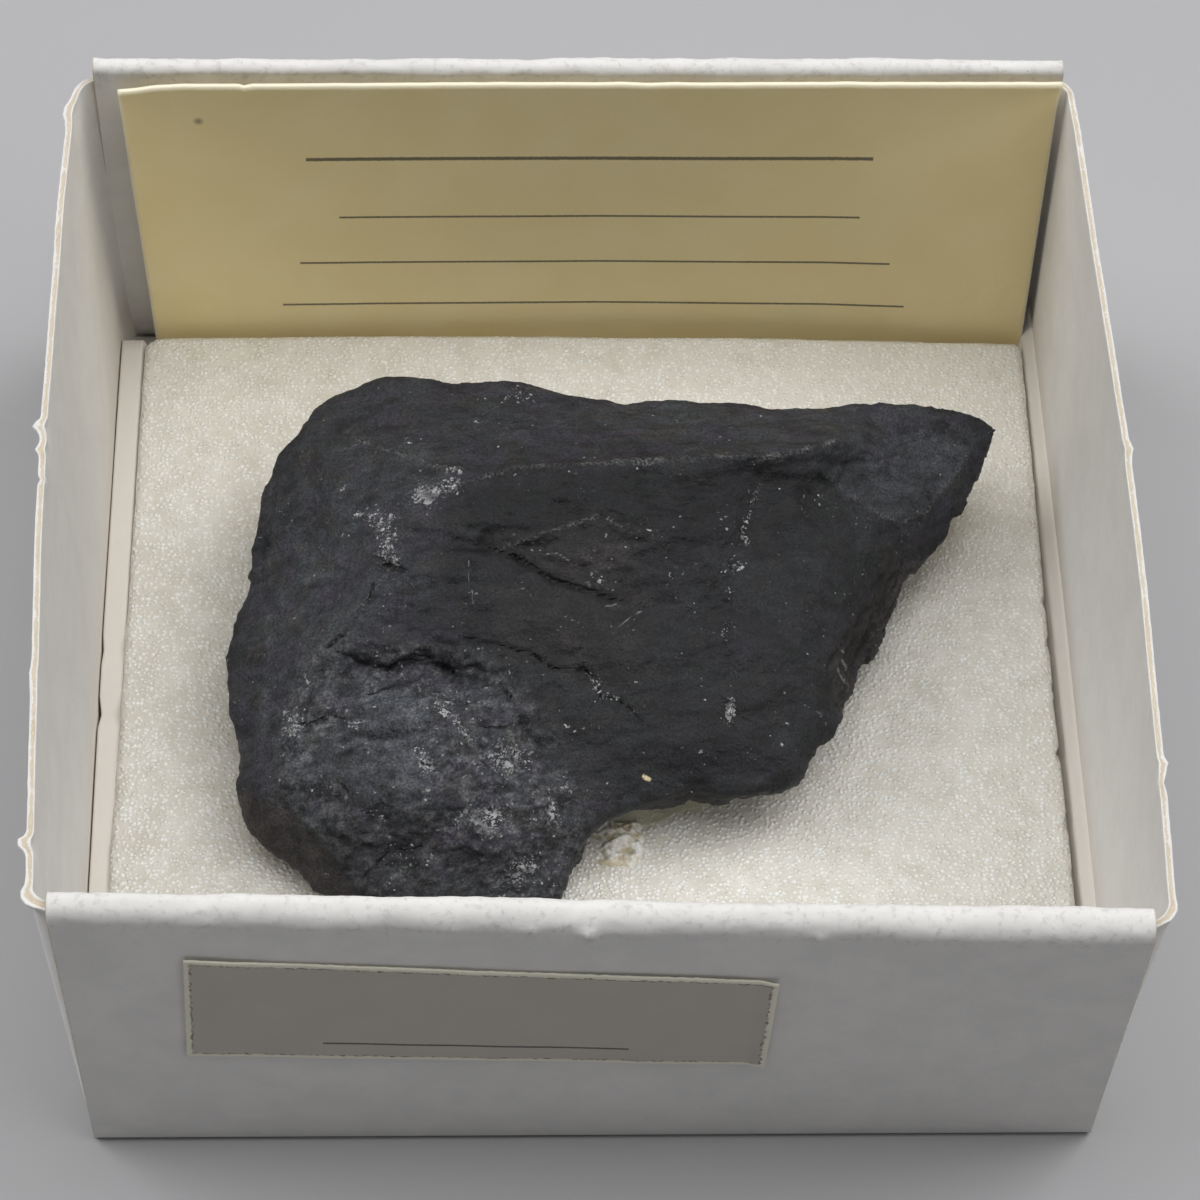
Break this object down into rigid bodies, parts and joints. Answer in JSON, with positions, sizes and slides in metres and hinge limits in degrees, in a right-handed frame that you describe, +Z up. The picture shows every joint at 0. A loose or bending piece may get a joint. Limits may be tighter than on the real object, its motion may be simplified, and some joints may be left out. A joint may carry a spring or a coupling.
{
  "type": "shungite specimen in a card collector's tray",
  "caption": "Black shungite stone glued on a white foam pad in a small square folded card tray, with a blank name card standing behind it and a number label on the front wall.",
  "frame": {"origin": "centre of the tray's footprint, on the surface it stands on", "axes": "+Z up, +X to the right seen from the labelled front wall, +Y from the front wall to the back wall"},
  "size_m": [0.0428, 0.043, 0.0182],
  "materials": {
    "white_card": "matte white lined card with raw greyish cut edges",
    "white_foam": "white expanded foam with small glittering cells",
    "cream_card": "matte cream card",
    "label_paper": "matte greyish paper with torn edges",
    "dried_glue": "cloudy dried glue, half gloss",
    "shungite": "dull near-black stone with faint sparkle, thin pale scratches and white mineral spots"
  },
  "bodies": {
    "root": {"tray_floor": "white_card", "tray_front_wall": "white_card", "tray_back_wall": "white_card", "tray_left_wall": "white_card", "tray_right_wall": "white_card", "foam_pad": "white_foam", "name_card": "cream_card", "number_label": "label_paper", "glue_blob": "dried_glue", "shungite_rock": "shungite"}
  },
  "joints": []
}
